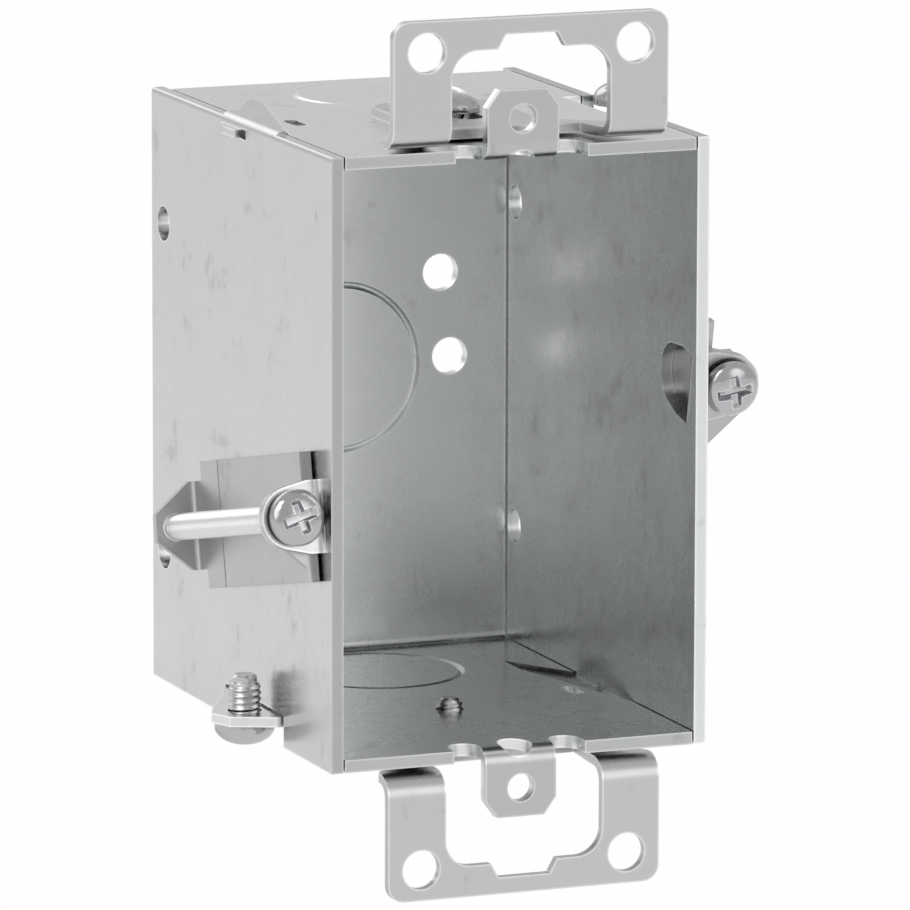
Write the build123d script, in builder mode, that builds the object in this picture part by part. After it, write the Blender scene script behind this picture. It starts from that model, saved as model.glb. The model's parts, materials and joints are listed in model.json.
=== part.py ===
from build123d import *
import math
import os

# Frame: X to the right, Y into the wall, Z up. The origin is the middle of the
# device screw pattern, in the plane of the front edges of the box.

# Box
box_height = 76.2
box_depth = 63.5
body_width = 46.2
sheet = 1.6
seam_gap = 0.2
bend_inner_r = 1.0
bend_outer_r = bend_inner_r + sheet
half_h = box_height / 2
half_body = body_width / 2
panel_inner_x = half_body + seam_gap
panel_outer_x = panel_inner_x + sheet

# Device tabs
tab_hole_rise = 3.57
device_spacing = box_height + 2 * tab_hole_rise
device_hole_r = 1.75
tab_width = 9.4
tab_end_z = half_h + 7.2
tab_front_y = -0.4
tab_bend_outer_r = 2.2
tab_corner_x = 1.6
tab_corner_z = 2.2
tab_relief_r = 2.1
tab_relief_y = 3.2
tab_side_relief_r = 2.0
tab_side_relief_d = 4.0
tab_root_y = 6.0

# Back holes and knockouts
back_hole_r = 2.4
back_hole_xz = ((14.0, 12.2), (15.3, 1.2))
knockout_r = 11.2
knockout_groove_w = 0.9
knockout_groove_d = 0.35
knockout_back_xz = (0.0, 0.6)
knockout_top_y = box_depth - 15.3
pry_slot_x = half_body - 4.3
pry_slot_y = 28.4
pry_slot_len = 4.8
pry_slot_w = 1.7

# Gang ears and their screws
gang_notch_y0 = 16.4
gang_notch_y1 = 37.0
gang_ear_t = 1.3
gang_ear_drop = 3.8
gang_ear_gap = 0.5
gang_notch_gap = 0.3
gang_root_x = half_body - 3.5
gang_jog_x = half_body - 1.7
gang_web_w = 1.0
gang_screw_x = panel_outer_x + 2.9
gang_screw_y_lower = 22.4
gang_screw_y_upper = 34.4
gang_ear_tip_r = 4.4
gang_ear_flat = 3.1
gang_ear_step = 0.6
gang_head_lift = 1.6
gang_head_r = 3.8
gang_head_h = 3.0
gang_shank_out = 4.6
gang_slot_turn = 20
ear_in_z = half_h - gang_ear_drop
ear_out_z = ear_in_z + gang_ear_t

# Screw sizes: number 6 for clamps and ears, number 8 for ganging, 32 threads to the inch
screw_r = 1.75
gang_screw_r = 2.08
thread_running_gap = 0.06
tapped_r = screw_r + thread_running_gap
head_h = 2.3
head_edge_h = 0.7
slot_w = 0.9
slot_d = 1.0
cross_len = 5.2
cross_turn = 18
cut_over = 1.0
point_r = 1.15
point_len = 1.2

# Hook flange of the side panels
hook_y0 = 19.5
hook_y1 = 38.0
hook_in_x = half_body - 5.5
hook_in_y0 = 42.3
hook_in_y1 = 47.6
hook_rise = 0.5
hook_gap = 0.25
hook_bend_r = 1.2

# Lanced stop on the side panels
stop_y0 = 31.0
stop_y1 = 38.2
stop_z0 = half_h - 1.9
stop_z1 = half_h - 0.9
stop_out = 0.9
stop_ramp = 3.0
stop_slot_y0 = 29.4
stop_slot_gap = 0.1

# Nail holes of the side panels
nail_hole_r = 2.2
nail_y = box_depth - 4.3
nail_z = half_h - 16.9

# Side clamps: the whole clamp lies at a slant on its side panel
clamp_tilt = 11.8
clamp_z0 = -5.8
clamp_axis_out = 3.8
clamp_ear_u0 = 2.7
clamp_ear_half = 4.5
clamp_ear_foot = 1.9
clamp_ear_tip_r = 3.9
clamp_ear_tip_out = 4.0
clamp_fold_r = 1.0
clamp_fold_u = clamp_ear_u0 - clamp_fold_r
clamp_fold_len = math.pi / 2 * (clamp_fold_r + sheet / 2)
clamp_screw_hole_r = 1.84
clamp_head_r = 3.5
clamp_head_lift = 0.6
clamp_screw_end_u = 46.7

# Clamp straps
strap_t = 1.2
strap_half = 8.0
strap_half_right = 9.0
strap_wall_gap = 0.03
strap_ear_gap = 0.06
strap_bend_r = 0.7
strap_front_u = clamp_ear_u0 + sheet + strap_ear_gap
strap_foot = strap_wall_gap + strap_t + strap_bend_r
strap_neck_half = 3.7
strap_flange_tip = 6.9
strap_flange_tip_half = 2.0
strap_gusset_left = 6.2
strap_gusset_right = 9.0
strap_gusset_tip_left = 1.6
strap_gusset_tip_right = 4.2
strap_shoulder = 2.0
strap_shoulder_u = 42.0
strap_nut_u = 45.0
strap_nut_lean = 8.0
strap_nut_base_half = 5.6
strap_nut_tip_half = 1.7
strap_nut_tip = 6.4
strap_crease_u = 35.6
strap_crease_w = 0.5
strap_crease_d = 0.2

# Plaster ears
ear_t = 1.25
ear_half = 18.0
ear_end_z = half_h + 16.5
ear_corner_r = 2.1
ear_hole_r = 2.45
ear_hole_dx = 27.3
ear_hole_z = half_h + 12.6
ear_cut_half = 10.4
ear_cut_z = half_h + 12.6
ear_cut_r = 3.4
ear_notch_half_out = 4.4
ear_notch_half_in = 3.4
ear_notch_z = half_h + 14.4
ear_bend_outer_r = 3.0
ear_front_y_top = -3.0
ear_front_y_bottom = -1.6
ear_lift = 0.7
ear_flat_y = 13.0
ear_rear_y = 32.0
ear_side_y = 0.4
ear_side_corner = 2.0
ear_tongue_y = 14.0
ear_tongue_half = 8.0
ear_window_depth = 9.5
ear_bend_trim = 0.1
ear_slot_half = 2.0
ear_slot_y0 = 15.8
ear_slot_y1 = 30.4
ear_screw_y = 23.3
ear_screw_head_r = 3.6
ear_screw_end = 1.5
ear_slot_turn = 35

os.makedirs("parts", exist_ok=True)

# The clamp lies in a slanted frame on the outer face of the left panel:
# local X runs back along the screw, local Y runs down, local Z points outwards.
tilt = math.radians(clamp_tilt)
clamp_x_dir = (0, math.cos(tilt), -math.sin(tilt))
clamp_plane = Plane(origin=(-panel_outer_x, 0, clamp_z0), x_dir=clamp_x_dir, z_dir=(-1, 0, 0))
clamp_at = clamp_plane.location
across_back = {"x_dir": (0, 1, 0), "z_dir": (1, 0, 0)}
clamp_side_plane = Plane(clamp_at * Plane((0, 0, 0), x_dir=(1, 0, 0), z_dir=(0, -1, 0)).location)
clamp_ear_plane = Plane(clamp_at * Plane((clamp_ear_u0, 0, 0), **across_back).location)
clamp_outline_plane = Plane(clamp_at * Plane((0, 0, 0), x_dir=(0, 0, 1), z_dir=(-1, 0, 0)).location)
strap_front_plane = Plane(clamp_at * Plane((strap_front_u, 0, 0), **across_back).location)
strap_rear_plane = Plane(clamp_at * Plane((strap_shoulder_u, 0, 0), **across_back).location)
head_seat = (clamp_ear_u0 - clamp_head_lift, 0, clamp_axis_out)
clamp_head_plane = Plane(clamp_at * Plane(head_seat, x_dir=(0, 1, 0), z_dir=(-1, 0, 0)).location)

# V ring around a knockout, standing on the sheet's face at z = 0
with BuildPart() as knockout_ring:
    with BuildSketch(Plane.XZ):
        with BuildLine():
            Polyline(
                (knockout_r - knockout_groove_w, 0),
                (knockout_r - knockout_groove_w / 2, -knockout_groove_d),
                (knockout_r, 0),
                (knockout_r, cut_over),
                (knockout_r - knockout_groove_w, cut_over),
                close=True,
            )
        make_face()
    revolve(axis=Axis.Z)

# Outline of the clamp ear, with X away from the panel: straight foot and round tip
with BuildSketch() as clamp_ear_outline:
    with Locations(((clamp_ear_foot - clamp_fold_len + clamp_fold_r) / 2, 0)):
        Rectangle(clamp_ear_foot + clamp_fold_len - clamp_fold_r, 2 * clamp_ear_half)
    with Locations((clamp_ear_tip_out, 0)):
        Circle(clamp_ear_tip_r)
    make_hull()


def domed_screw(head_radius, head_height, radius, shank_len):
    """A screw with its seat at z = 0: domed head above, plain shank below."""
    with BuildPart() as screw:
        with BuildSketch(Plane.XZ):
            with BuildLine():
                Polyline(
                    (0, head_height),
                    (0, -shank_len),
                    (radius, -shank_len),
                    (radius, 0),
                    (head_radius, 0),
                    (head_radius, head_edge_h),
                )
                TangentArc((0, head_height), (head_radius, head_edge_h), tangent=(1, 0))
            make_face()
        revolve(axis=Axis.Z)
    return screw.part


def folded_strap(half_low, gusset_foot, gusset_tip):
    """A clamp strap: plate on the panel, front flange with a gusset, threaded rear flange."""
    lean = math.tan(math.radians(strap_nut_lean))
    plate_top = strap_wall_gap + strap_t
    nut_t = strap_t / math.cos(math.radians(strap_nut_lean))
    with BuildPart() as strap:
        with BuildSketch(clamp_side_plane) as profile:
            with BuildLine():
                Polyline(
                    (strap_front_u, strap_flange_tip),
                    (strap_front_u, strap_wall_gap),
                    (strap_nut_u + nut_t + (strap_wall_gap - clamp_axis_out) * lean, strap_wall_gap),
                    (strap_nut_u + nut_t + (strap_nut_tip - clamp_axis_out) * lean, strap_nut_tip),
                    (strap_nut_u + (strap_nut_tip - clamp_axis_out) * lean, strap_nut_tip),
                    (strap_nut_u + (plate_top - clamp_axis_out) * lean, plate_top),
                    (strap_front_u + strap_t, plate_top),
                    (strap_front_u + strap_t, strap_flange_tip),
                    close=True,
                )
            make_face()
            levels = profile.vertices().group_by(Axis.Y)
            fillet(levels[0], strap_bend_r + strap_t)
            inner_bends = profile.vertices().sort_by_distance((strap_front_u + strap_t, plate_top))[0]
            fillet(inner_bends, strap_bend_r)
            nut_bend = (strap_nut_u + (plate_top - clamp_axis_out) * lean, plate_top)
            fillet(profile.vertices().sort_by_distance(nut_bend)[0], strap_bend_r)
        extrude(amount=half_low, both=True)
        # Front flange: neck above, gusset below
        with BuildSketch(strap_front_plane.offset(-cut_over)):
            with BuildLine():
                Polyline(
                    (-half_low - cut_over, strap_wall_gap - cut_over),
                    (-strap_half, strap_wall_gap - cut_over),
                    (-strap_half, strap_foot),
                    (-strap_neck_half, strap_foot),
                    (-strap_neck_half, strap_flange_tip - strap_shoulder),
                    (-strap_flange_tip_half, strap_flange_tip),
                    (-strap_flange_tip_half, strap_flange_tip + cut_over),
                    (-half_low - cut_over, strap_flange_tip + cut_over),
                    close=True,
                )
            make_face()
            with BuildLine():
                Polyline(
                    (half_low + cut_over, strap_foot),
                    (gusset_foot, strap_foot),
                    (gusset_tip, strap_flange_tip),
                    (gusset_tip, strap_flange_tip + cut_over),
                    (half_low + cut_over, strap_flange_tip + cut_over),
                    close=True,
                )
            make_face()
        extrude(amount=2 * (strap_t + cut_over), mode=Mode.SUBTRACT)
        # Straight sides of the plate
        with BuildSketch(clamp_plane):
            for side, half in ((-1, strap_half), (1, strap_half)):
                with Locations((clamp_screw_end_u / 2 + strap_foot + strap_front_u, side * (half + cut_over))):
                    Rectangle(clamp_screw_end_u, 2 * cut_over)
        extrude(amount=strap_foot, mode=Mode.SUBTRACT)
        # Rear flange
        with BuildSketch(strap_rear_plane):
            for side in (-1, 1):
                with BuildLine():
                    Polyline(
                        (side * strap_nut_base_half, -cut_over),
                        (side * strap_nut_base_half, strap_foot),
                        (side * strap_nut_tip_half, strap_nut_tip),
                        (side * strap_nut_tip_half, strap_nut_tip + cut_over),
                        (side * (half_low + cut_over), strap_nut_tip + cut_over),
                        (side * (half_low + cut_over), -cut_over),
                        close=True,
                    )
                make_face()
        extrude(amount=clamp_screw_end_u - strap_shoulder_u + cut_over, mode=Mode.SUBTRACT)
        # Screw holes: clear in front, tapped at the rear
        with BuildSketch(strap_front_plane.offset(-cut_over)):
            with Locations((0, clamp_axis_out)):
                Circle(clamp_screw_hole_r)
        extrude(amount=strap_t + 2 * cut_over, mode=Mode.SUBTRACT)
        with BuildSketch(strap_rear_plane):
            with Locations((0, clamp_axis_out)):
                Circle(tapped_r)
        extrude(amount=clamp_screw_end_u - strap_shoulder_u + cut_over, mode=Mode.SUBTRACT)
        with BuildSketch(clamp_plane.offset(strap_wall_gap + strap_t - strap_crease_d)):
            with Locations((strap_crease_u, 0)):
                Rectangle(strap_crease_w, 2 * half_low)
        extrude(amount=strap_crease_d, mode=Mode.SUBTRACT)
    return strap.part


# Body: top, back and bottom in one folded sheet
with BuildPart() as box_body:
    with Locations((0, box_depth / 2, 0)):
        Box(body_width, box_depth, box_height)
    fillet(box_body.edges().filter_by(Axis.X).group_by(Axis.Y)[-1], bend_outer_r)
    with BuildPart(mode=Mode.PRIVATE) as hollow:
        with Locations((0, (box_depth - sheet) / 2, 0)):
            Box(body_width + 2 * cut_over, box_depth - sheet, box_height - 2 * sheet)
        fillet(hollow.edges().filter_by(Axis.X).group_by(Axis.Y)[-1], bend_inner_r)
    add(hollow.part, mode=Mode.SUBTRACT)
    # Hook recesses, top left and bottom right
    for side in (1, -1):
        with BuildSketch(Plane.XY.offset(side * (half_h - sheet))):
            with BuildLine():
                Polyline(
                    (-side * (half_body + cut_over), hook_y0 - hook_gap),
                    (-side * half_body, hook_y0 - hook_gap),
                    (-side * (hook_in_x - hook_gap), hook_in_y0),
                    (-side * (hook_in_x - hook_gap), hook_in_y1 + 3 * hook_gap),
                    (-side * half_body, hook_y1 + 2 * hook_gap),
                    (-side * (half_body + cut_over), hook_y1 + 2 * hook_gap),
                    close=True,
                )
            make_face()
        extrude(amount=side * (sheet + cut_over), mode=Mode.SUBTRACT)
    # Device tabs bent up and down at the front
    for side in (1, -1):
        with BuildSketch(Plane.YZ.offset(-tab_width / 2)):
            with BuildLine():
                Polyline(
                    (tab_root_y, side * (half_h - sheet)),
                    (tab_front_y, side * (half_h - sheet)),
                    (tab_front_y, side * tab_end_z),
                    (tab_front_y + sheet, side * tab_end_z),
                    (tab_front_y + sheet, side * half_h),
                    (tab_root_y, side * half_h),
                    close=True,
                )
            make_face()
        extrude(amount=tab_width)
        bend_edge = (
            box_body.edges()
            .filter_by(Axis.X)
            .sort_by_distance((0, tab_front_y, side * (half_h - sheet)))[0]
        )
        fillet(bend_edge, tab_bend_outer_r)
        for hand in (1, -1):
            with BuildSketch(Plane.XZ.offset(cut_over - tab_front_y)):
                with BuildLine():
                    Polyline(
                        (hand * tab_width / 2, side * (tab_end_z - tab_corner_z)),
                        (hand * tab_width / 2, side * tab_end_z),
                        (hand * (tab_width / 2 - tab_corner_x), side * tab_end_z),
                        close=True,
                    )
                make_face()
            extrude(amount=-(sheet + 2 * cut_over), mode=Mode.SUBTRACT)
            # Round-ended notch beside the tab
            notch_y = tab_side_relief_d - tab_side_relief_r
            with BuildSketch(Plane.XY.offset(side * (half_h - sheet - cut_over))):
                with Locations((hand * (tab_width / 2 + tab_side_relief_r), 0)):
                    Rectangle(2 * tab_side_relief_r, 2 * notch_y)
                with Locations((hand * (tab_width / 2 + tab_side_relief_r), notch_y)):
                    Circle(tab_side_relief_r)
            extrude(amount=side * (sheet + 2 * cut_over), mode=Mode.SUBTRACT)
        relief_plane = Plane(
            origin=(0, tab_relief_y, side * half_h), x_dir=(1, 0, 0), z_dir=(0, -1, -side)
        )
        with BuildSketch(relief_plane):
            Circle(tab_relief_r)
        extrude(amount=tab_root_y, both=True, mode=Mode.SUBTRACT)
        with BuildSketch(Plane.XZ.offset(cut_over - tab_front_y)):
            with Locations((0, side * device_spacing / 2)):
                Circle(device_hole_r)
        extrude(amount=-(sheet + 2 * cut_over), mode=Mode.SUBTRACT)
    # Gang ears, jogged inwards past the side panel
    for side, screw_y in ((-1, gang_screw_y_lower), (1, gang_screw_y_upper)):
        near_y = gang_notch_y0 + gang_ear_gap
        far_y = gang_notch_y1 - gang_ear_gap
        tip_r = gang_ear_tip_r
        flat = gang_ear_flat
        cut_x = gang_root_x + gang_web_w
        cut_w = panel_outer_x - cut_x
        with Locations((side * (cut_x + cut_w / 2), (near_y + far_y) / 2, side * half_h)):
            Box(cut_w, gang_notch_y1 - gang_notch_y0, 2 * sheet, mode=Mode.SUBTRACT)
        with BuildSketch(Plane.XZ.offset(-near_y)):
            with BuildLine():
                Polyline(
                    (side * gang_root_x, side * (half_h - sheet)),
                    (side * (gang_root_x + gang_web_w), side * half_h),
                    (side * (gang_jog_x + gang_web_w), side * ear_out_z),
                    (side * (gang_jog_x + gang_web_w), side * ear_in_z),
                    (side * gang_jog_x, side * ear_in_z),
                    close=True,
                )
            make_face()
        extrude(amount=near_y - far_y)
        with BuildSketch(Plane.XY.offset(side * ear_in_z)):
            with BuildLine():
                Polyline(
                    (side * (gang_jog_x + gang_web_w / 2), near_y),
                    (side * (panel_outer_x + gang_ear_step), near_y),
                    (side * gang_screw_x, screw_y - tip_r),
                    (side * (gang_screw_x + flat), screw_y - flat),
                    (side * (gang_screw_x + tip_r), screw_y),
                    (side * (gang_screw_x + flat), screw_y + flat),
                    (side * (gang_screw_x - gang_ear_step), max(screw_y + tip_r, far_y - tip_r)),
                    (side * (panel_outer_x + gang_ear_step), far_y),
                    (side * (gang_jog_x + gang_web_w / 2), far_y),
                    close=True,
                )
            make_face()
        extrude(amount=side * gang_ear_t)
        with BuildSketch(Plane.XY.offset(side * (ear_in_z - cut_over))):
            with Locations((side * gang_screw_x, screw_y)):
                Circle(gang_screw_r + thread_running_gap)
        extrude(amount=side * (gang_ear_t + 2 * cut_over), mode=Mode.SUBTRACT)
    # Back holes, mirrored through the depth axis
    with BuildSketch(Plane.XZ.offset(-box_depth - cut_over)):
        for hole_x, hole_z in back_hole_xz:
            with Locations((hole_x, hole_z), (-hole_x, -hole_z)):
                Circle(back_hole_r)
    extrude(amount=sheet + 2 * cut_over, mode=Mode.SUBTRACT)
    # Knockout outlines on both faces, pry slots and tapped ear screw holes
    for face_y, outward in ((box_depth, 1), (box_depth - sheet, -1)):
        ring_at = Plane((knockout_back_xz[0], face_y, knockout_back_xz[1]), z_dir=(0, outward, 0))
        add(knockout_ring.part.moved(ring_at.location), mode=Mode.SUBTRACT)
    for side in (1, -1):
        for face_z, outward in ((half_h, side), (half_h - sheet, -side)):
            ring_at = Plane((0, knockout_top_y, side * face_z), z_dir=(0, 0, outward))
            add(knockout_ring.part.moved(ring_at.location), mode=Mode.SUBTRACT)
        with BuildSketch(Plane.XY.offset(side * (half_h - sheet - cut_over))):
            with Locations((-side * pry_slot_x, pry_slot_y)):
                SlotOverall(pry_slot_len, pry_slot_w, rotation=90)
            with Locations((0, ear_screw_y)):
                Circle(tapped_r)
        extrude(amount=side * (sheet + 2 * cut_over), mode=Mode.SUBTRACT)
box_body.part.label = "box_body"

# Left side panel, with its hook flange, gang notch and clamp ear
with BuildPart() as side_panel_left:
    with Locations((-(panel_inner_x + sheet / 2), box_depth / 2, 0)):
        Box(sheet, box_depth, box_height)
    notch_mid_y = (gang_notch_y0 + gang_notch_y1) / 2
    with Locations((-(panel_inner_x + sheet / 2), notch_mid_y, -half_h)):
        Box(
            sheet + cut_over,
            gang_notch_y1 - gang_notch_y0,
            2 * (gang_ear_drop + gang_notch_gap),
            mode=Mode.SUBTRACT,
        )
    # Hook flange, folded over the top sheet of the body
    with BuildSketch(Plane.XY.offset(half_h + hook_rise)):
        with BuildLine():
            Polyline(
                (-panel_outer_x, hook_y0),
                (-panel_inner_x, hook_y0),
                (-hook_in_x, hook_in_y0),
                (-hook_in_x, hook_in_y1),
                (-half_body + hook_gap, hook_y1),
                (-panel_outer_x, hook_y1),
                close=True,
            )
        make_face()
    extrude(amount=-sheet)
    hook_bend = (
        side_panel_left.edges()
        .filter_by(Axis.Y)
        .sort_by_distance((-panel_outer_x, (hook_y0 + hook_y1) / 2, half_h + hook_rise))[0]
    )
    fillet(hook_bend, hook_bend_r)
    # Lanced stop
    with BuildSketch(Plane.XY.offset(stop_z0)):
        with BuildLine():
            Polyline(
                (-panel_outer_x, stop_y0),
                (-panel_outer_x - stop_out, stop_y0),
                (-panel_outer_x - stop_out, stop_y1 - stop_ramp),
                (-panel_outer_x, stop_y1),
                close=True,
            )
        make_face()
    extrude(amount=stop_z1 - stop_z0)
    with Locations((-(panel_inner_x + sheet / 2), (stop_slot_y0 + stop_y0) / 2, (stop_z0 + stop_z1) / 2)):
        Box(
            sheet + cut_over,
            stop_y0 - stop_slot_y0,
            stop_z1 - stop_z0 + 2 * stop_slot_gap,
            mode=Mode.SUBTRACT,
        )
    # Nail holes
    with BuildSketch(Plane.YZ.offset(-panel_outer_x - cut_over)):
        with Locations((nail_y, nail_z), (nail_y, -nail_z)):
            Circle(nail_hole_r)
    extrude(amount=sheet + 2 * cut_over, mode=Mode.SUBTRACT)
    # Lance hole that the clamp ear leaves
    with BuildSketch(clamp_plane.offset(cut_over)):
        with Locations((clamp_fold_u - clamp_fold_r + clamp_fold_len, 0)):
            add(clamp_ear_outline.sketch)
    extrude(amount=-(sheet + 2 * cut_over), mode=Mode.SUBTRACT)
    # Clamp ear, folded outwards
    with BuildPart(mode=Mode.PRIVATE) as clamp_ear:
        with BuildSketch(clamp_side_plane):
            with BuildLine():
                TangentArc((clamp_fold_u, 0), (clamp_ear_u0, clamp_fold_r), tangent=(1, 0))
                Polyline(
                    (clamp_ear_u0, clamp_fold_r),
                    (clamp_ear_u0, clamp_ear_tip_out + clamp_ear_tip_r),
                    (clamp_ear_u0 + sheet, clamp_ear_tip_out + clamp_ear_tip_r),
                    (clamp_ear_u0 + sheet, clamp_fold_r),
                )
                TangentArc((clamp_fold_u, -sheet), (clamp_ear_u0 + sheet, clamp_fold_r), tangent=(1, 0))
                Line((clamp_fold_u, -sheet), (clamp_fold_u, 0))
            make_face()
        extrude(amount=clamp_ear_half, both=True)
        with BuildSketch(clamp_outline_plane):
            add(clamp_ear_outline.sketch)
        extrude(amount=-clamp_screw_end_u, mode=Mode.INTERSECT)
        with BuildSketch(clamp_ear_plane.offset(-cut_over)):
            with Locations((0, clamp_axis_out)):
                Circle(clamp_screw_hole_r)
        extrude(amount=sheet + 2 * cut_over, mode=Mode.SUBTRACT)
    add(clamp_ear.part)
side_panel_left.part.label = "side_panel_left"

# Right side panel: the same sheet turned half round the depth axis
with BuildPart() as side_panel_right:
    add(side_panel_left.part.rotate(Axis.Y, 180))
side_panel_right.part.label = "side_panel_right"

# Clamp straps, folded the other hand on the right
with BuildPart() as clamp_strap_left:
    add(folded_strap(strap_half, strap_gusset_left, strap_gusset_tip_left))
clamp_strap_left.part.label = "clamp_strap_left"

flip_plane = Plane(clamp_at * Plane((0, 0, 0), x_dir=(1, 0, 0), z_dir=(0, 1, 0)).location)
right_strap = folded_strap(strap_half_right, strap_gusset_right, strap_gusset_tip_right)
with BuildPart() as clamp_strap_right:
    add(right_strap.mirror(flip_plane).rotate(Axis.Y, 180))
clamp_strap_right.part.label = "clamp_strap_right"

# Clamp screws: domed head with a cross recess, long shank
clamp_shank_len = clamp_screw_end_u - clamp_ear_u0 + clamp_head_lift
clamp_blank = domed_screw(clamp_head_r, head_h, screw_r, clamp_shank_len)
with BuildPart() as clamp_screw_left:
    add(clamp_blank.moved(clamp_head_plane.location))
    with BuildSketch(clamp_head_plane.offset(head_h - slot_d)):
        Rectangle(cross_len, slot_w, rotation=cross_turn)
        Rectangle(slot_w, cross_len, rotation=cross_turn)
    extrude(amount=slot_d, mode=Mode.SUBTRACT)
clamp_screw_left.part.label = "clamp_screw_left"

with BuildPart() as clamp_screw_right:
    add(clamp_screw_left.part.rotate(Axis.Y, 180))
clamp_screw_right.part.label = "clamp_screw_right"

# Plaster ears: a leg frame folded onto a slotted tongue
with BuildPart() as plaster_ear_top:
    base_z = half_h + ear_lift
    with BuildSketch(Plane.YZ.offset(-ear_half)):
        with BuildLine():
            Polyline(
                (ear_front_y_top, ear_end_z),
                (ear_front_y_top, base_z),
                (ear_front_y_top + ear_bend_outer_r, base_z),
                (ear_flat_y, half_h),
                (ear_rear_y, half_h),
                (ear_rear_y, half_h + ear_t),
                (ear_flat_y, half_h + ear_t),
                (ear_front_y_top + ear_bend_outer_r, base_z + ear_t),
                (ear_front_y_top + ear_t, base_z + ear_t),
                (ear_front_y_top + ear_t, ear_end_z),
                close=True,
            )
        make_face()
    extrude(amount=2 * ear_half)
    outer_bend = (
        plaster_ear_top.edges().filter_by(Axis.X).sort_by_distance((0, ear_front_y_top, base_z))[0]
    )
    inner_bend = (
        plaster_ear_top.edges()
        .filter_by(Axis.X)
        .sort_by_distance((0, ear_front_y_top + ear_t, base_z + ear_t))[0]
    )
    fillet(outer_bend, ear_bend_outer_r - ear_bend_trim)
    fillet(inner_bend, ear_bend_outer_r - ear_t - ear_bend_trim)
    # Outline of the base in plan, and its slot
    base_cut_plane = Plane.XY.offset(half_h - cut_over)
    base_cut = ear_t + ear_lift + 3 * cut_over
    for hand in (1, -1):
        with BuildSketch(base_cut_plane):
            with BuildLine():
                Polyline(
                    (hand * (ear_half + cut_over), ear_side_y),
                    (hand * ear_half, ear_side_y),
                    (hand * ear_tongue_half, ear_tongue_y),
                    (hand * ear_tongue_half, ear_rear_y - ear_side_corner),
                    (hand * (ear_tongue_half - ear_side_corner), ear_rear_y),
                    (hand * (ear_tongue_half - ear_side_corner), ear_rear_y + cut_over),
                    (hand * (ear_half + cut_over), ear_rear_y + cut_over),
                    close=True,
                )
            make_face()
        extrude(amount=base_cut, mode=Mode.SUBTRACT)
    with BuildSketch(base_cut_plane):
        with Locations((0, (ear_slot_y0 + ear_slot_y1) / 2)):
            SlotOverall(ear_slot_y1 - ear_slot_y0, 2 * ear_slot_half, rotation=90)
    extrude(amount=base_cut, mode=Mode.SUBTRACT)
    # Window between the legs, with the stepped middle
    with BuildSketch(Plane.XZ.offset(cut_over - ear_front_y_top)) as window:
        with BuildLine():
            Polyline(
                (-ear_cut_half, half_h - cut_over),
                (-ear_cut_half, ear_cut_z),
                (-ear_notch_half_out, ear_cut_z),
                (-ear_notch_half_in, ear_notch_z),
                (ear_notch_half_in, ear_notch_z),
                (ear_notch_half_out, ear_cut_z),
                (ear_cut_half, ear_cut_z),
                (ear_cut_half, half_h - cut_over),
                close=True,
            )
        make_face()
        shoulders = window.vertices().group_by(Axis.Y)[1].sort_by(Axis.X)
        fillet((shoulders[0], shoulders[-1]), ear_cut_r)
    extrude(amount=-(ear_window_depth + cut_over), mode=Mode.SUBTRACT)
    with BuildSketch(Plane.XZ.offset(cut_over - ear_front_y_top)):
        with Locations((-ear_hole_dx / 2, ear_hole_z), (ear_hole_dx / 2, ear_hole_z)):
            Circle(ear_hole_r)
    extrude(amount=-(ear_t + 2 * cut_over), mode=Mode.SUBTRACT)
    ear_corners = plaster_ear_top.edges().filter_by(Axis.Y).group_by(Axis.Z)[-1]
    fillet(ear_corners, ear_corner_r)
plaster_ear_top.part.label = "plaster_ear_top"

ear_shift = ear_front_y_bottom - ear_front_y_top
with BuildPart() as plaster_ear_bottom:
    add(plaster_ear_top.part.rotate(Axis.Y, 180).translate((0, ear_shift, 0)))
plaster_ear_bottom.part.label = "plaster_ear_bottom"

# Ear screws
ear_blank = domed_screw(ear_screw_head_r, head_h, screw_r, ear_t + sheet + ear_screw_end)
ear_seat = Plane((0, ear_screw_y, half_h + ear_t), z_dir=(0, 0, 1))
with BuildPart() as ear_screw_top:
    add(ear_blank.moved(ear_seat.location))
    with BuildSketch(ear_seat.offset(head_h - slot_d)):
        Rectangle(3 * ear_screw_head_r, slot_w, rotation=ear_slot_turn)
    extrude(amount=slot_d, mode=Mode.SUBTRACT)
ear_screw_top.part.label = "ear_screw_top"

with BuildPart() as ear_screw_bottom:
    add(ear_screw_top.part.rotate(Axis.Y, 180))
ear_screw_bottom.part.label = "ear_screw_bottom"

# Gang screws: the lower one is driven home, the upper one stands off its ear
gang_shank_len = gang_ear_t + gang_shank_out - point_len
gang_blank = domed_screw(gang_head_r, gang_head_h, gang_screw_r, gang_shank_len)
gang_seat = Plane((-gang_screw_x, gang_screw_y_lower, -ear_out_z), z_dir=(0, 0, -1))
with BuildPart() as gang_screw_lower:
    add(gang_blank.moved(gang_seat.location))
    with BuildSketch(gang_seat.offset(gang_head_h - slot_d)):
        Rectangle(3 * gang_head_r, slot_w, rotation=gang_slot_turn)
    extrude(amount=slot_d, mode=Mode.SUBTRACT)
    with BuildSketch(gang_seat.offset(-gang_shank_len)):
        Circle(point_r)
    extrude(amount=-point_len)
gang_screw_lower.part.label = "gang_screw_lower"

gang_move = (0, gang_screw_y_upper - gang_screw_y_lower, gang_head_lift)
with BuildPart() as gang_screw_upper:
    add(gang_screw_lower.part.rotate(Axis.Y, 180).translate(gang_move))
gang_screw_upper.part.label = "gang_screw_upper"

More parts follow.
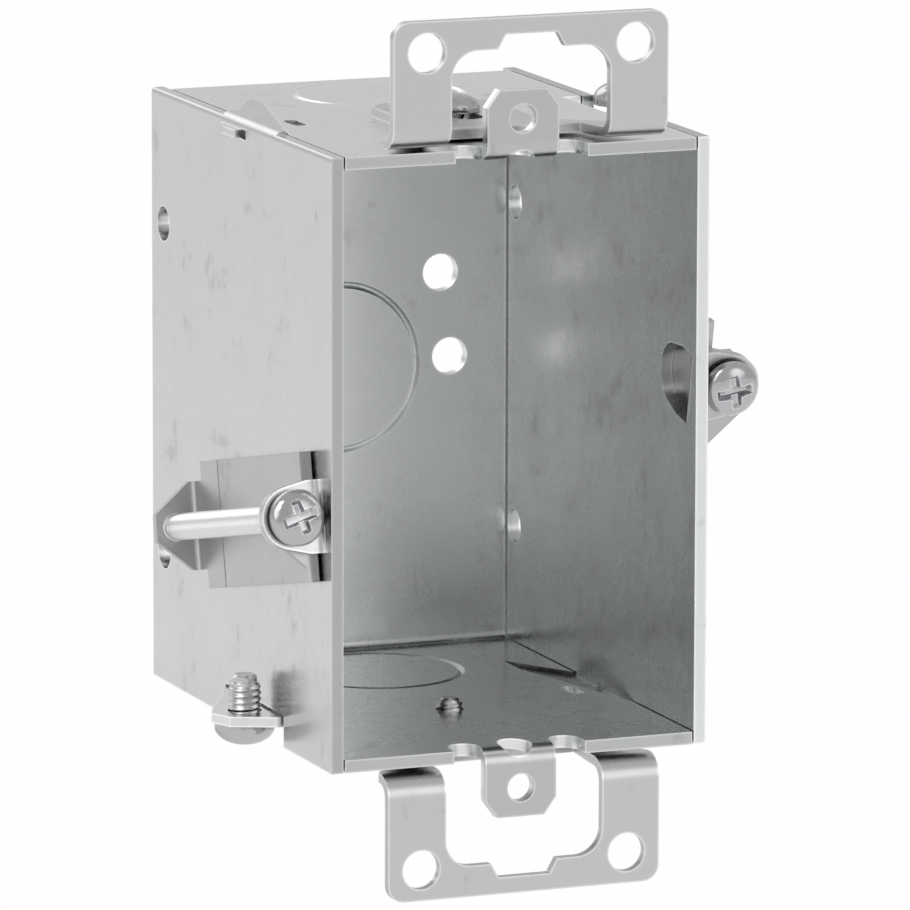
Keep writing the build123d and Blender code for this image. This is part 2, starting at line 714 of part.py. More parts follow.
export_step(box_body.part, "parts/box_body.step")
export_step(side_panel_left.part, "parts/side_panel_left.step")
export_step(side_panel_right.part, "parts/side_panel_right.step")
export_step(clamp_strap_left.part, "parts/clamp_strap_left.step")
export_step(clamp_strap_right.part, "parts/clamp_strap_right.step")
export_step(clamp_screw_left.part, "parts/clamp_screw_left.step")
export_step(clamp_screw_right.part, "parts/clamp_screw_right.step")
export_step(plaster_ear_top.part, "parts/plaster_ear_top.step")
export_step(plaster_ear_bottom.part, "parts/plaster_ear_bottom.step")
export_step(ear_screw_top.part, "parts/ear_screw_top.step")
export_step(ear_screw_bottom.part, "parts/ear_screw_bottom.step")
export_step(gang_screw_lower.part, "parts/gang_screw_lower.step")
export_step(gang_screw_upper.part, "parts/gang_screw_upper.step")
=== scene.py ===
import json
import math

import bmesh
import bpy
from mathutils import Matrix, Vector


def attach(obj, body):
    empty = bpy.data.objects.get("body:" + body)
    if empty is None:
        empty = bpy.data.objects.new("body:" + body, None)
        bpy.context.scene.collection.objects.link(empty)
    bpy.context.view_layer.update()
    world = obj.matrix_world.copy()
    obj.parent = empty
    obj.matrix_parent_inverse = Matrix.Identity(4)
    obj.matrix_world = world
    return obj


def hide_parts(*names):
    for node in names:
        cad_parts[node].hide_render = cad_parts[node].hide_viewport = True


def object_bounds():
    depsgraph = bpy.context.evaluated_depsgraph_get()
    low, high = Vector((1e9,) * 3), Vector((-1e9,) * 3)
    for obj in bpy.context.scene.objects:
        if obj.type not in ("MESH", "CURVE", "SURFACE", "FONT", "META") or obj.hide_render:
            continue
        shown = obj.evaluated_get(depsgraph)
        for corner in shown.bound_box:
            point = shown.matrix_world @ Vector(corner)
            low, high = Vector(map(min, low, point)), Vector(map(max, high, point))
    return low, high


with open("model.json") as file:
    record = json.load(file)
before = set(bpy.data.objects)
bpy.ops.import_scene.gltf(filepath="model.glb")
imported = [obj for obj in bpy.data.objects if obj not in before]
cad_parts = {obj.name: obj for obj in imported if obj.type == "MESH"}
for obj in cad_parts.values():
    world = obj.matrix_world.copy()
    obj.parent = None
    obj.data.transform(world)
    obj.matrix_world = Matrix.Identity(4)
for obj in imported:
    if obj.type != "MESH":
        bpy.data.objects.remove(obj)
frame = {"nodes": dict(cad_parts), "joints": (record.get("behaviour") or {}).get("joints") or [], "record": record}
cad_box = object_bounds()
nodes = frame["nodes"]
joints = {joint["name"]: joint for joint in frame["joints"]}
MM = 0.001

# Camera, fitted to the photograph
CAMERA_AT = Vector((-425.32, -1039.13, 209.81)) * MM
CAMERA_AZIMUTH = math.radians(-21.847)
CAMERA_ELEVATION = math.radians(10.587)
CAMERA_ROLL = math.radians(0.142)
CAMERA_LENS = 368.94
CAMERA_CLIP = (0.01, 100)
SENSOR_WIDTH = 36.0

# Sheet edges: rounding, and the strip beside an edge whose tone is scaled as painted light: a painted highlight
# where brightened, painted shade where darkened
EDGE_ROUND = 0.14 * MM
PANEL_ROUND = 0.26 * MM
EDGE_ANGLE = math.radians(32)
EDGE_SEGMENTS = 2
EDGE_LIGHT_WIDTH = 0.5 * MM
EDGE_LIGHT_SAMPLES = 6
EDGE_LIGHT_FROM, EDGE_LIGHT_TO = 0.995, 0.86
# Depth of the front rim, whose tone is scaled as painted light
RIM_DEPTH = 0.1 * MM

# Pattern of the steel, in grains a millimetre. A stretch under 1 draws them out along that axis.
EVEN = (1, 1, 1)
CLOUD_SCALE = 0.11
BLOTCH_SCALE, BLOTCH_SHARE = 0.45, 0.5
STREAK_SCALE, STREAK_SHARE = 0.9, 0.4
SMEAR_SCALE, SMEAR_SHARE = 0.35, 0.4
SMEAR_STRETCH = (1, 1, 0.2)
SMEAR_TURN = (math.radians(52), 0, 0)
PATTERN_LOW, PATTERN_HIGH = 0.90, 1.40
SCRATCH_SCALE = 2.2
SCRATCH_STRETCH = (1, 1, 0.03)
SCRATCH_TURN = (math.radians(38), math.radians(9), 0)
SCRATCH_FROM, SCRATCH_TO = 0.70, 0.78
WAVE_SCALE = 0.07

# Threads and shanks of the screws
THREAD_PITCH = 25.4 / 32 * MM
THREAD_DEPTH = 0.22 * MM
WORN_THREAD_DEPTH = 0.07 * MM
THREAD_RINGS = 8
THREAD_FLANK = 2.3
THREAD_END = 0.02 * MM
START_TAPER = 0.5
TIP_ROUND = 0.2
SCREW_SEGMENTS = 40
SMALL_RADIUS, LARGE_RADIUS = 1.75 * MM, 2.08 * MM

# Heads of the screws
HEAD_SEGMENTS = 72
HEAD_INNER = 0.5
HEAD_EDGE = 0.7 * MM
HEAD_LIFT = 0.03 * MM
HEAD_ROUND = 0.12 * MM
HEAD_ROUND_STEPS = 3
DOME_RINGS = 14

# Recesses: arms, length, width and depth, then how they taper and how the second arm differs
CROSS = (2, 5.4 * MM, 1.35 * MM, 1.35 * MM)
SLOT = (1, 9.0 * MM, 1.0 * MM, 1.0 * MM)
RECESS_FLOOR, RECESS_MOUTH = 0.62, 1.25
RECESS_ABOVE = 1 * MM
ARM_SHALLOWER = 0.12
ARM_HIGHER = 0.2 * MM
LEFT_CROSS_TURN = math.radians(18)
RIGHT_CROSS_TURN = math.radians(11)
EAR_SLOT_TURN = math.radians(35)
GANG_SLOT_TURN = math.radians(20)

# Crease across the clamp straps: where its bottom lies, and by how much it is raised
CREASE_LOW, CREASE_HIGH = 0.9 * MM, 1.1 * MM
CREASE_FROM, CREASE_TO = 35.2 * MM, 36.0 * MM
CREASE_RAISE = 0.15 * MM

# Front bend of the straps beside their neck, which is tighter than its stand-in
BEND_RADIUS = 1.9 * MM
BEND_MIDDLE = 1.93 * MM
BEND_FROM = 0.05
BEND_OUTSIDE = 0.97
BEND_SQUARED = 0.6
NECK_HALF = 4.0 * MM

# Front rim of the body beside the tabs, which is square
RIM_FROM = 8.6 * MM
RIM_BACK = 1.85 * MM
RIM_INNER, RIM_OUTER = 36.5 * MM, 37.6 * MM

# Floor, well below the object, as the photograph shows no contact with one.
# Metal mirrors its glow, which changes with the distance from three places on it: darker close to the box as a
# painted shadow, and dimmer far away and around a place before it on the left.
FLOOR_DROP = 62 * MM
FLOOR_SIZE = 8.0
FLOOR_COLOUR = (0.9, 0.9, 0.9, 1)
FLOOR_GLOW = 0.98
FLOOR_SHADOW_AT = (-0.06, 0.22)
FLOOR_SHADOW = (0.10, 0.19, 0.25, 0.98)
FLOOR_FAR_AT = (0, 0)
FLOOR_FAR = (0.40, 0.90, 1.0, 0.71)
FLOOR_DIM_AT = (-0.27, -0.67)
FLOOR_DIM = (0.10, 0.45, 0.62, 1.0)

# Studio as metal mirrors it: pale grey, a touch dimmer towards the front of the object, with
# bright panels high behind it, on its left and before it on the right. A cone is the cosine of
# its outer and of its inner edge.
GREY_LEVEL = 0.68
DIFFUSE_LEVEL = 0.7
WIDE_CONE = (math.cos(math.radians(50)), math.cos(math.radians(14)))
PANEL_CONE = (math.cos(math.radians(26)), math.cos(math.radians(9)))
PANELS = (
    ((-0.366, -0.915, -0.05), WIDE_CONE, -0.02),
    ((-0.25, 0.80, 0.54), PANEL_CONE, 1.1),
    ((-0.85, -0.30, 0.42), PANEL_CONE, 1.3),
    ((0.40, -0.85, 0.36), PANEL_CONE, 0.9),
)

# Lamp that gives the object its soft key light
KEY_AT = (-1.2, -0.6, 1.4)
KEY_AIM = (0, 0, 0)
KEY_SIZE = 0.9
KEY_WATTS = 5


def math_node(tree, operation, first, second):
    """A Math node; first and second are sockets or numbers."""
    node = tree.nodes.new("ShaderNodeMath")
    node.operation = operation
    for index, value in enumerate((first, second)):
        if isinstance(value, (int, float)):
            node.inputs[index].default_value = value
        else:
            tree.links.new(value, node.inputs[index])
    return node.outputs[0]


def noise(tree, coords, stretch, scale, detail=4.0, roughness=0.5, turn=(0, 0, 0)):
    """Noise in millimetres, drawn out along an axis where stretch is under 1."""
    mapping = tree.nodes.new("ShaderNodeMapping")
    mapping.vector_type = "TEXTURE"
    mapping.inputs["Scale"].default_value = tuple(MM / s for s in stretch)
    mapping.inputs["Rotation"].default_value = turn
    tree.links.new(coords, mapping.inputs["Vector"])
    node = tree.nodes.new("ShaderNodeTexNoise")
    node.inputs["Scale"].default_value = scale
    node.inputs["Detail"].default_value = detail
    node.inputs["Roughness"].default_value = roughness
    tree.links.new(mapping.outputs["Vector"], node.inputs["Vector"])
    return node.outputs["Fac"]


def spread(tree, value, low, high, out_low, out_high):
    """Maps value from low..high to out_low..out_high, clamped."""
    node = tree.nodes.new("ShaderNodeMapRange")
    for name, number in (
        ("From Min", low), ("From Max", high), ("To Min", out_low), ("To Max", out_high)
    ):
        node.inputs[name].default_value = number
    tree.links.new(value, node.inputs["Value"])
    return node.outputs["Result"]


def new_material(name):
    """An empty node material with its output and shader, and the object's own coordinates."""
    material = bpy.data.materials.new(name)
    material.use_nodes = True
    tree = material.node_tree
    tree.nodes.clear()
    output = tree.nodes.new("ShaderNodeOutputMaterial")
    shader = tree.nodes.new("ShaderNodeBsdfPrincipled")
    tree.links.new(shader.outputs["BSDF"], output.inputs["Surface"])
    coords = tree.nodes.new("ShaderNodeTexCoord").outputs["Object"]
    return material, tree, shader, coords


def near_edge(tree):
    """1 beside a sharp edge, 0 away from it."""
    bevel = tree.nodes.new("ShaderNodeBevel")
    bevel.samples = EDGE_LIGHT_SAMPLES
    bevel.inputs["Radius"].default_value = EDGE_LIGHT_WIDTH
    flat = tree.nodes.new("ShaderNodeNewGeometry").outputs["Normal"]
    bent = tree.nodes.new("ShaderNodeVectorMath")
    bent.operation = "DOT_PRODUCT"
    tree.links.new(bevel.outputs["Normal"], bent.inputs[0])
    tree.links.new(flat, bent.inputs[1])
    return spread(tree, bent.outputs["Value"], EDGE_LIGHT_FROM, EDGE_LIGHT_TO, 0, 1)


def at_front(tree, coords):
    """1 on the sheared front rim of the box, 0 behind it; it masks the painted light on the rim."""
    parts = tree.nodes.new("ShaderNodeSeparateXYZ")
    tree.links.new(coords, parts.inputs["Vector"])
    return spread(tree, parts.outputs["Y"], RIM_DEPTH, RIM_DEPTH * 2, 1, 0)


def steel(
    name, tone, tone_spread, rough, rough_spread, streak, wave, grain, scratch,
    rim=1.0, edge_light=1.5, fine_scale=3.2
):
    """Zinc-coated steel: cloudy tone, rolling streaks, smears, scratches, waves and a fine grain.

    Wave, grain and scratch are heights in millimetres. Rim and the edge factor multiply the tone on the
    front rim and beside edges as painted light: above 1 a painted highlight, below 1 painted shade.
    """
    material, tree, shader, coords = new_material(name)
    mixed = noise(tree, coords, EVEN, CLOUD_SCALE, detail=5, roughness=0.6)
    blotches = noise(tree, coords, EVEN, BLOTCH_SCALE, detail=3, roughness=0.6)
    streaks = noise(tree, coords, streak, STREAK_SCALE, detail=4, roughness=0.6)
    smears = noise(tree, coords, SMEAR_STRETCH, SMEAR_SCALE, detail=3, turn=SMEAR_TURN)
    layers = ((blotches, BLOTCH_SHARE), (streaks, STREAK_SHARE), (smears, SMEAR_SHARE))
    for layer, share in layers:
        mixed = math_node(tree, "ADD", mixed, math_node(tree, "MULTIPLY", layer, share))
    ramp = tree.nodes.new("ShaderNodeValToRGB")
    low, high = ramp.color_ramp.elements
    low.position, high.position = PATTERN_LOW, PATTERN_HIGH
    low.color = tuple(channel * (1 - tone_spread) for channel in tone) + (1,)
    high.color = tuple(min(1, channel * (1 + tone_spread)) for channel in tone) + (1,)
    tree.links.new(mixed, ramp.inputs["Fac"])
    # Tone scaled beside sharp edges as painted light: brightened as a painted highlight, and darkened beside the
    # straps' edges as painted shade.
    gain = spread(tree, near_edge(tree), 0, 1, 1, edge_light)
    gain = math_node(tree, "MULTIPLY", gain, spread(tree, at_front(tree, coords), 0, 1, 1, rim))
    toned = tree.nodes.new("ShaderNodeVectorMath")
    toned.operation = "SCALE"
    tree.links.new(ramp.outputs["Color"], toned.inputs[0])
    tree.links.new(gain, toned.inputs["Scale"])
    tree.links.new(toned.outputs["Vector"], shader.inputs["Base Color"])
    rougher, smoother = rough + rough_spread, rough - rough_spread
    rough_value = spread(tree, mixed, PATTERN_LOW, PATTERN_HIGH, rougher, smoother)
    tree.links.new(rough_value, shader.inputs["Roughness"])
    shader.inputs["Metallic"].default_value = 1.0
    waves = noise(tree, coords, EVEN, WAVE_SCALE, detail=1)
    fine = noise(tree, coords, EVEN, fine_scale, detail=3)
    lines = noise(tree, coords, SCRATCH_STRETCH, SCRATCH_SCALE, detail=2, turn=SCRATCH_TURN)
    cuts = spread(tree, lines, SCRATCH_FROM, SCRATCH_TO, 0, 1)
    height = math_node(
        tree, "ADD", math_node(tree, "MULTIPLY", waves, wave), math_node(tree, "MULTIPLY", fine, grain)
    )
    height = math_node(tree, "SUBTRACT", height, math_node(tree, "MULTIPLY", cuts, scratch))
    bump = tree.nodes.new("ShaderNodeBump")
    bump.inputs["Strength"].default_value = 1.0
    bump.inputs["Distance"].default_value = MM
    tree.links.new(height, bump.inputs["Height"])
    tree.links.new(bump.outputs["Normal"], shader.inputs["Normal"])
    return material


ROLLED = {
    "tone_spread": 0.08, "rough": 0.26, "rough_spread": 0.05,
    "streak": (1, 1, 0.12), "wave": 0.12, "grain": 0.001, "scratch": 0.003,
}
SCUFFED = {**ROLLED, "rough": 0.27, "scratch": 0.004}
STRIP = {
    "tone_spread": 0.06, "rough": 0.30, "rough_spread": 0.04,
    "streak": (1, 1, 0.3), "wave": 0.08, "grain": 0.002, "scratch": 0.002,
}
# The front rim is darkened as painted shade on the sheet and the left panel, and brightened as a painted highlight
# on the right panel.
SHEET = steel("galvanised_sheet", (0.68, 0.69, 0.69), rim=0.68, **ROLLED)
# The side panels are darker copies of the sheet steel, as painted shade.
SHADED_LEFT = steel("galvanised_left_shaded", (0.57, 0.58, 0.57), rim=0.72, **ROLLED)
SHADED_RIGHT = steel("galvanised_right_shaded", (0.44, 0.45, 0.45), rim=1.58, **SCUFFED)
EAR = steel("galvanised_ear", (0.53, 0.53, 0.53), **STRIP)
# The strap's edges are darkened a little as painted shade.
STRAP = steel("galvanised_strap", (0.46, 0.46, 0.46), edge_light=0.9, **STRIP)
HEAD = steel(
    "zinc_head", (0.42, 0.42, 0.43), tone_spread=0.12, rough=0.12, rough_spread=0.04,
    streak=EVEN, wave=0.03, grain=0.05, scratch=0, fine_scale=0.9
)
# The clamp shanks get a much brighter copy of the screws' zinc than the heads, as a painted highlight.
LIT_SHANK = steel(
    "zinc_shank_highlight", (0.84, 0.84, 0.84), tone_spread=0.04, rough=0.11, rough_spread=0.03,
    streak=EVEN, wave=0.02, grain=0.002, scratch=0
)
DULL = steel(
    "zinc_dull", (0.46, 0.46, 0.46), tone_spread=0.08, rough=0.24, rough_spread=0.05,
    streak=EVEN, wave=0.03, grain=0.02, scratch=0, fine_scale=0.9
)
MATERIALS = {"galvanised_sheet": SHEET, "galvanised_strip": EAR, "zinc_screw": HEAD}
OWN_MATERIALS = {
    "side_panel_left": SHADED_LEFT,
    "side_panel_right": SHADED_RIGHT,
    "clamp_strap_left": STRAP,
    "clamp_strap_right": STRAP,
}
OWN_ROUND = {"side_panel_left": PANEL_ROUND, "side_panel_right": PANEL_ROUND}


def dress(obj, name, slot_name):
    """Gives an object its node's material and slightly rounded sheared edges."""
    obj.data.materials.clear()
    obj.data.materials.append(OWN_MATERIALS.get(name, MATERIALS[slot_name]))
    bevel = obj.modifiers.new("edge_round", "BEVEL")
    bevel.width = OWN_ROUND.get(name, EDGE_ROUND)
    bevel.segments = EDGE_SEGMENTS
    bevel.limit_method = "ANGLE"
    bevel.angle_limit = EDGE_ANGLE
    bevel.harden_normals = True


for part in frame["record"]["subparts"]:
    dress(nodes[part["node"]], part["node"], part["material_slot"])


def ring(mesh, radius, height, segments):
    """A closed ring of vertices round the Z axis."""
    turns = [2 * math.pi * index / segments for index in range(segments)]
    return [mesh.verts.new((radius * math.cos(t), radius * math.sin(t), height)) for t in turns]


def skin(mesh, low, high):
    """Quads between two rings of the same count."""
    for index, vertex in enumerate(low):
        after = (index + 1) % len(low)
        mesh.faces.new((vertex, low[after], high[after], high[index]))


def head_mesh(radius, height, shank_radius):
    """Domed head with a small rounding at both ends of its straight edge."""
    mesh = bmesh.new()
    profile = [(shank_radius * HEAD_INNER, HEAD_LIFT), (radius - HEAD_ROUND, HEAD_LIFT)]
    for step in range(1, HEAD_ROUND_STEPS + 1):
        turn = math.pi / 2 * step / HEAD_ROUND_STEPS
        out = radius - HEAD_ROUND * (1 - math.sin(turn))
        profile.append((out, HEAD_LIFT + HEAD_ROUND * (1 - math.cos(turn))))
    rise = height - HEAD_EDGE
    for step in range(DOME_RINGS):
        turn = math.pi / 2 * step / DOME_RINGS
        profile.append((radius * math.cos(turn), HEAD_EDGE + rise * math.sin(turn)))
    rings = [ring(mesh, r, z, HEAD_SEGMENTS) for r, z in profile]
    for low, high in zip(rings, rings[1:]):
        skin(mesh, low, high)
    mesh.faces.new(list(reversed(rings[0])))
    top = mesh.verts.new((0, 0, height))
    for index, vertex in enumerate(rings[-1]):
        mesh.faces.new((vertex, rings[-1][(index + 1) % HEAD_SEGMENTS], top))
    return mesh


def recess_mesh(length, width, depth, height):
    """One tapered arm of a recess: wide above the dome, narrow at the bottom."""
    mesh = bmesh.new()
    levels = []
    for level, part in ((height - depth, RECESS_FLOOR), (height + RECESS_ABOVE, RECESS_MOUTH)):
        corners = [(-1, -1), (1, -1), (1, 1), (-1, 1)]
        points = [(x * length / 2 * part, y * width / 2 * part, level) for x, y in corners]
        levels.append([mesh.verts.new(point) for point in points])
    mesh.faces.new(list(reversed(levels[0])))
    mesh.faces.new(levels[1])
    skin(mesh, levels[0], levels[1])
    return mesh


def as_object(name, mesh):
    """A new object in the scene that holds the bmesh."""
    data = bpy.data.meshes.new(name)
    mesh.to_mesh(data)
    mesh.free()
    obj = bpy.data.objects.new(name, data)
    bpy.context.scene.collection.objects.link(obj)
    return obj


def cut_head(head, cutters):
    """Cuts the recess into the head and rounds its edges a little."""
    for cutter in cutters:
        cut = head.modifiers.new("recess", "BOOLEAN")
        cut.operation = "DIFFERENCE"
        cut.solver = "EXACT"
        cut.object = cutter
    rounding = head.modifiers.new("edge_round", "BEVEL")
    rounding.width = HEAD_ROUND / 2
    rounding.segments = EDGE_SEGMENTS
    rounding.limit_method = "ANGLE"
    rounding.angle_limit = EDGE_ANGLE
    bpy.context.view_layer.update()
    done = bpy.data.meshes.new_from_object(head.evaluated_get(bpy.context.evaluated_depsgraph_get()))
    for obj in [head] + cutters:
        bpy.data.objects.remove(obj)
    return done


def shank_mesh(radius, length, thread_depth, point_radius, point_length):
    """Threaded shank below the seat, with a tapered start and a plain point."""
    mesh = bmesh.new()
    thread_length = length - point_length
    count = int(thread_length / THREAD_PITCH * THREAD_RINGS)
    taper = (radius - point_radius - thread_depth) * START_TAPER
    rings = []
    for step in range(count + 1):
        depth = thread_length * step / count
        fade = min(1, (thread_length - depth) / THREAD_PITCH)
        row = []
        for index in range(SCREW_SEGMENTS):
            turn = 2 * math.pi * index / SCREW_SEGMENTS
            phase = (depth / THREAD_PITCH + index / SCREW_SEGMENTS) % 1
            crest = min(1, THREAD_FLANK * abs(phase - 0.5))
            out = radius - thread_depth * crest - taper * (1 - fade)
            row.append(mesh.verts.new((out * math.cos(turn), out * math.sin(turn), -depth)))
        rings.append(row)
    tip_round = point_radius * TIP_ROUND
    rings.append(ring(mesh, point_radius, -thread_length - THREAD_END, SCREW_SEGMENTS))
    rings.append(ring(mesh, point_radius, -length + tip_round, SCREW_SEGMENTS))
    rings.append(ring(mesh, point_radius - tip_round, -length, SCREW_SEGMENTS))
    for low, high in zip(rings, rings[1:]):
        skin(mesh, high, low)
    mesh.faces.new(rings[0])
    mesh.faces.new(list(reversed(rings[-1])))
    return mesh


def add_screw(node, body, head, shank_radius, point, recess, recess_turn):
    """Rebuilds a screw round its joint's axis, between the ends of its CAD node."""
    head_radius, head_height = head
    joint = joints[body + "_turn"]
    axis = Vector(joint["axis"]).normalized()
    foot = Vector(joint["pos_m"])
    along = [(vertex.co - foot).dot(axis) for vertex in nodes[node].data.vertices]
    length = max(along) - min(along) - head_height
    arms, arm_length, arm_width, arm_depth = recess
    blank = as_object("blank", head_mesh(head_radius, head_height, shank_radius))
    cutters = []
    for arm in range(arms):
        depth = arm_depth * (1 - ARM_SHALLOWER * arm)
        tool = recess_mesh(arm_length, arm_width, depth, head_height + ARM_HIGHER * arm)
        quarter = Matrix.Rotation(math.pi / 2 * arm, 3, "Z")
        bmesh.ops.rotate(tool, cent=(0, 0, 0), matrix=quarter, verts=tool.verts)
        cutters.append(as_object("cutter", tool))
    mesh = bmesh.new()
    mesh.from_mesh(cut_head(blank, cutters))
    head_faces = len(mesh.faces)
    clamp = node.startswith("clamp")
    part = shank_mesh(shank_radius, length, WORN_THREAD_DEPTH if clamp else THREAD_DEPTH, *point)
    shank = bpy.data.meshes.new("shank")
    part.to_mesh(shank)
    part.free()
    mesh.from_mesh(shank)
    mesh.faces.ensure_lookup_table()
    for face in mesh.faces[head_faces:]:
        face.material_index = 1
    across = Vector((1, 0, 0))
    side = axis.cross(across).normalized()
    turn = Matrix((side.cross(axis), side, axis)).transposed() @ Matrix.Rotation(recess_turn, 3, "Z")
    place = Matrix.Translation(foot + axis * (max(along) - head_height)) @ turn.to_4x4()
    bmesh.ops.transform(mesh, matrix=place, verts=mesh.verts)
    bmesh.ops.recalc_face_normals(mesh, faces=mesh.faces)
    for face in mesh.faces:
        face.smooth = True
    piece = as_object(node + "_detailed", mesh)
    piece.data.set_sharp_from_angle(angle=EDGE_ANGLE)
    piece.data.materials.append(HEAD)
    piece.data.materials.append(LIT_SHANK if clamp else DULL)
    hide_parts(node)
    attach(piece, body)


def add_screws():
    """All six screws of the box: two in the clamps, two in the plaster ears, two in the gang ears."""
    clamp_head = (3.5 * MM, 2.3 * MM)
    clamp_point = (1.2 * MM, 0.6 * MM)
    ear_head = (3.6 * MM, 2.3 * MM)
    ear_point = (1.2 * MM, 0.5 * MM)
    gang_head = (3.8 * MM, 3.0 * MM)
    gang_point = (1.55 * MM, 0.9 * MM)
    for side, turn in (("left", LEFT_CROSS_TURN), ("right", RIGHT_CROSS_TURN)):
        node, body = "clamp_screw_" + side, side + "_clamp_screw"
        add_screw(node, body, clamp_head, SMALL_RADIUS, clamp_point, CROSS, turn)
    for end, level in (("top", "upper"), ("bottom", "lower")):
        node, body = "ear_screw_" + end, level + "_ear_screw"
        add_screw(node, body, ear_head, SMALL_RADIUS, ear_point, SLOT, EAR_SLOT_TURN)
    for level in ("lower", "upper"):
        node, body = "gang_screw_" + level, level + "_gang_screw"
        add_screw(node, body, gang_head, LARGE_RADIUS, gang_point, SLOT, GANG_SLOT_TURN)


def reshaped(node, data, body, slot_name):
    """Puts a reshaped copy of a node's mesh in its place."""
    data.attributes.remove(data.attributes["custom_normal"])
    data.set_sharp_from_angle(angle=EDGE_ANGLE)
    piece = bpy.data.objects.new(node + "_formed", data)
    bpy.context.scene.collection.objects.link(piece)
    dress(piece, node, slot_name)
    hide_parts(node)
    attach(piece, body)


def add_strap(side):
    """A clamp strap with a shallower crease and a tighter front bend than its stand-in."""
    node = "clamp_strap_" + side
    joint = joints[side + "_clamp_screw_turn"]
    axis = Vector(joint["axis"]).normalized()
    foot = Vector(joint["pos_m"])
    across = axis.cross(Vector((1, 0, 0)))
    data = nodes[node].data.copy()
    low = min(abs(vertex.co.x) for vertex in data.vertices)
    front = min((foot - vertex.co).dot(axis) for vertex in data.vertices)
    for vertex in data.vertices:
        height = abs(vertex.co.x) - low
        along = (foot - vertex.co).dot(axis)
        if CREASE_LOW < height < CREASE_HIGH and CREASE_FROM < along < CREASE_TO:
            vertex.co.x += math.copysign(CREASE_RAISE, vertex.co.x)
        ahead = (front + BEND_RADIUS - along) / BEND_RADIUS
        below = (BEND_MIDDLE - height) / BEND_RADIUS
        beside = abs((vertex.co - foot).dot(across)) > NECK_HALF
        if beside and min(ahead, below) > BEND_FROM and math.hypot(ahead, below) > BEND_OUTSIDE:
            gain = (1 / max(ahead, below) - 1) * BEND_SQUARED * BEND_RADIUS
            vertex.co += axis * (ahead * gain)
            vertex.co.x -= math.copysign(below * gain, vertex.co.x)
    reshaped(node, data, side + "_clamp_strap", "galvanised_strip")


def add_body():
    """The box body with a square front rim beside its tabs."""
    data = nodes["box_body"].data.copy()
    for vertex in data.vertices:
        x, y, z = vertex.co
        if abs(x) > RIM_FROM and y < RIM_BACK and RIM_INNER < abs(z) < RIM_OUTER:
            vertex.co.z = math.copysign(RIM_INNER, z)
    reshaped("box_body", data, "box", "galvanised_sheet")


def add_floor():
    """A plain pale floor below the object, which shows its shadow."""
    size = FLOOR_SIZE / 2
    mesh = bpy.data.meshes.new("floor")
    level = cad_box[0][2] - FLOOR_DROP
    corners = [(-size, -size, level), (size, -size, level), (size, size, level), (-size, size, level)]
    mesh.from_pydata(corners, [], [(0, 1, 2, 3)])
    floor = bpy.data.objects.new("floor", mesh)
    bpy.context.scene.collection.objects.link(floor)
    material = bpy.data.materials.new("pale_floor")
    material.use_nodes = True
    tree = material.node_tree
    tree.nodes.clear()
    output = tree.nodes.new("ShaderNodeOutputMaterial")
    diffuse = tree.nodes.new("ShaderNodeBsdfDiffuse")
    diffuse.inputs["Color"].default_value = FLOOR_COLOUR
    glow = tree.nodes.new("ShaderNodeEmission")
    glow.inputs["Strength"].default_value = 1.0
    mix = tree.nodes.new("ShaderNodeMixShader")
    path = tree.nodes.new("ShaderNodeLightPath")
    direct = math_node(tree, "MULTIPLY", path.outputs["Is Camera Ray"], FLOOR_GLOW)
    coords = tree.nodes.new("ShaderNodeTexCoord").outputs["Object"]
    mirrored = path.outputs["Is Glossy Ray"]
    # The mirrored glow is darkened near the box as a painted shadow, and dimmed far away and before it on the
    # left.
    falls = ((FLOOR_SHADOW_AT, FLOOR_SHADOW), (FLOOR_FAR_AT, FLOOR_FAR), (FLOOR_DIM_AT, FLOOR_DIM))
    for centre, fall in falls:
        away = tree.nodes.new("ShaderNodeVectorMath")
        away.operation = "DISTANCE"
        tree.links.new(coords, away.inputs[0])
        away.inputs[1].default_value = (*centre, level)
        mirrored = math_node(tree, "MULTIPLY", mirrored, spread(tree, away.outputs["Value"], *fall))
    tree.links.new(math_node(tree, "MAXIMUM", direct, mirrored), mix.inputs["Fac"])
    tree.links.new(diffuse.outputs["BSDF"], mix.inputs[1])
    tree.links.new(glow.outputs["Emission"], mix.inputs[2])
    tree.links.new(mix.outputs["Shader"], output.inputs["Surface"])
    mesh.materials.append(material)


def panel(tree, direction, towards, cone, level):
    """Up to level of light within a cone round a direction."""
    facing = tree.nodes.new("ShaderNodeVectorMath")
    facing.operation = "DOT_PRODUCT"
    tree.links.new(direction, facing.inputs[0])
    facing.inputs[1].default_value = Vector(towards).normalized()
    return spread(tree, facing.outputs["Value"], *cone, 0, level)


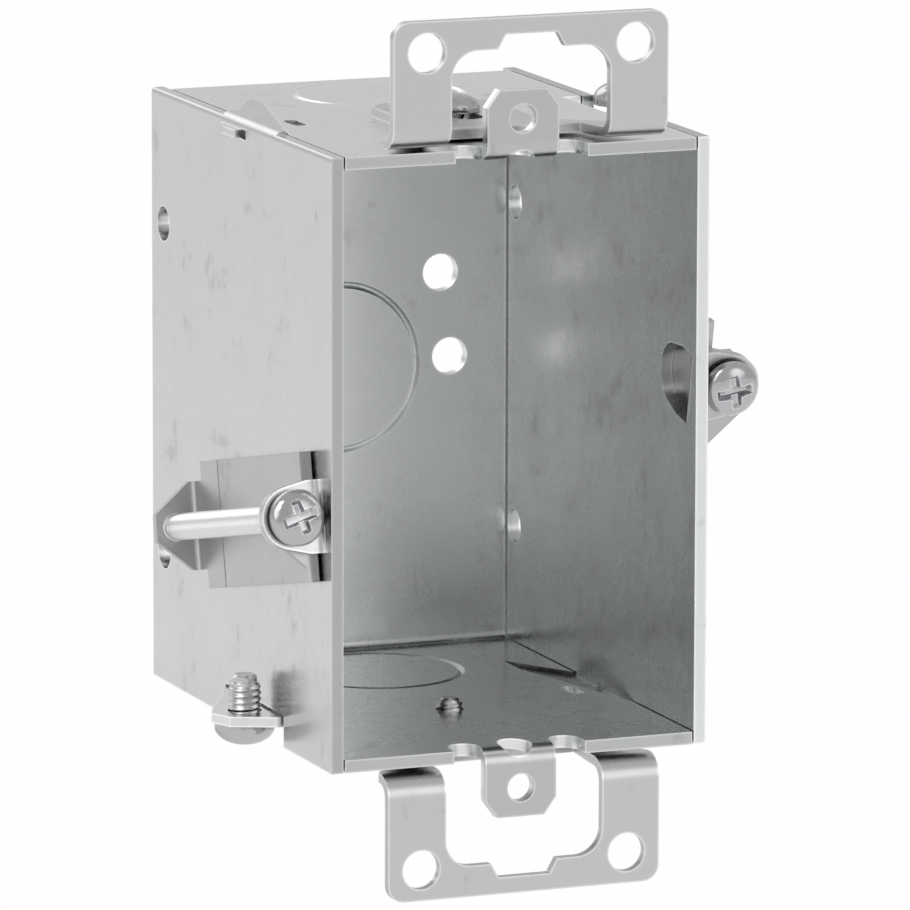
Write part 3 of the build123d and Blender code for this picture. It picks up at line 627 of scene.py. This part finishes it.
def add_world():
    """Pale studio: white to the camera, grey with three bright panels as metal mirrors it."""
    world = bpy.data.worlds.new("studio")
    bpy.context.scene.world = world
    world.use_nodes = True
    tree = world.node_tree
    tree.nodes.clear()
    output = tree.nodes.new("ShaderNodeOutputWorld")
    background = tree.nodes.new("ShaderNodeBackground")
    background.inputs["Color"].default_value = (1, 1, 1, 1)
    direction = tree.nodes.new("ShaderNodeTexCoord").outputs["Generated"]
    mirrored = GREY_LEVEL
    for towards, cone, level in PANELS:
        mirrored = math_node(tree, "ADD", mirrored, panel(tree, direction, towards, cone, level))
    path = tree.nodes.new("ShaderNodeLightPath")
    seen = math_node(tree, "MAXIMUM", path.outputs["Is Camera Ray"], path.outputs["Is Transmission Ray"])
    glossy = math_node(tree, "MULTIPLY", mirrored, path.outputs["Is Glossy Ray"])
    sharp = math_node(tree, "MAXIMUM", seen, path.outputs["Is Glossy Ray"])
    other = math_node(tree, "MULTIPLY", math_node(tree, "SUBTRACT", 1.0, sharp), DIFFUSE_LEVEL)
    strength = math_node(tree, "ADD", math_node(tree, "ADD", seen, glossy), other)
    tree.links.new(strength, background.inputs["Strength"])
    tree.links.new(background.outputs["Background"], output.inputs["Surface"])


def add_lamp(name, place, aim, size, watts):
    """A square soft lamp at place that faces aim."""
    light = bpy.data.lights.new(name, "AREA")
    light.shape = "SQUARE"
    light.size = size
    light.energy = watts
    lamp = bpy.data.objects.new(name, light)
    lamp.location = place
    lamp.rotation_euler = (Vector(aim) - Vector(place)).to_track_quat("-Z", "Y").to_euler()
    bpy.context.scene.collection.objects.link(lamp)


def add_camera():
    """The camera at the photograph's place and angle."""
    data = bpy.data.cameras.new("camera")
    data.sensor_width = SENSOR_WIDTH
    data.lens = CAMERA_LENS
    data.clip_start, data.clip_end = CAMERA_CLIP
    camera = bpy.data.objects.new("camera", data)
    forward = Vector((
        -math.sin(CAMERA_AZIMUTH) * math.cos(CAMERA_ELEVATION),
        math.cos(CAMERA_AZIMUTH) * math.cos(CAMERA_ELEVATION),
        -math.sin(CAMERA_ELEVATION),
    ))
    right = Vector((math.cos(CAMERA_AZIMUTH), math.sin(CAMERA_AZIMUTH), 0))
    up = right.cross(forward)
    turn = Matrix((right, up, -forward)).transposed().to_4x4()
    camera.matrix_world = Matrix.Translation(CAMERA_AT) @ turn @ Matrix.Rotation(CAMERA_ROLL, 4, "Z")
    bpy.context.scene.collection.objects.link(camera)
    bpy.context.scene.camera = camera


add_screws()
add_strap("left")
add_strap("right")
add_body()
add_floor()
add_world()
add_lamp("key", KEY_AT, KEY_AIM, KEY_SIZE, KEY_WATTS)
add_camera()
bpy.context.scene.view_settings.view_transform = "Standard"

bpy.context.view_layer.update()
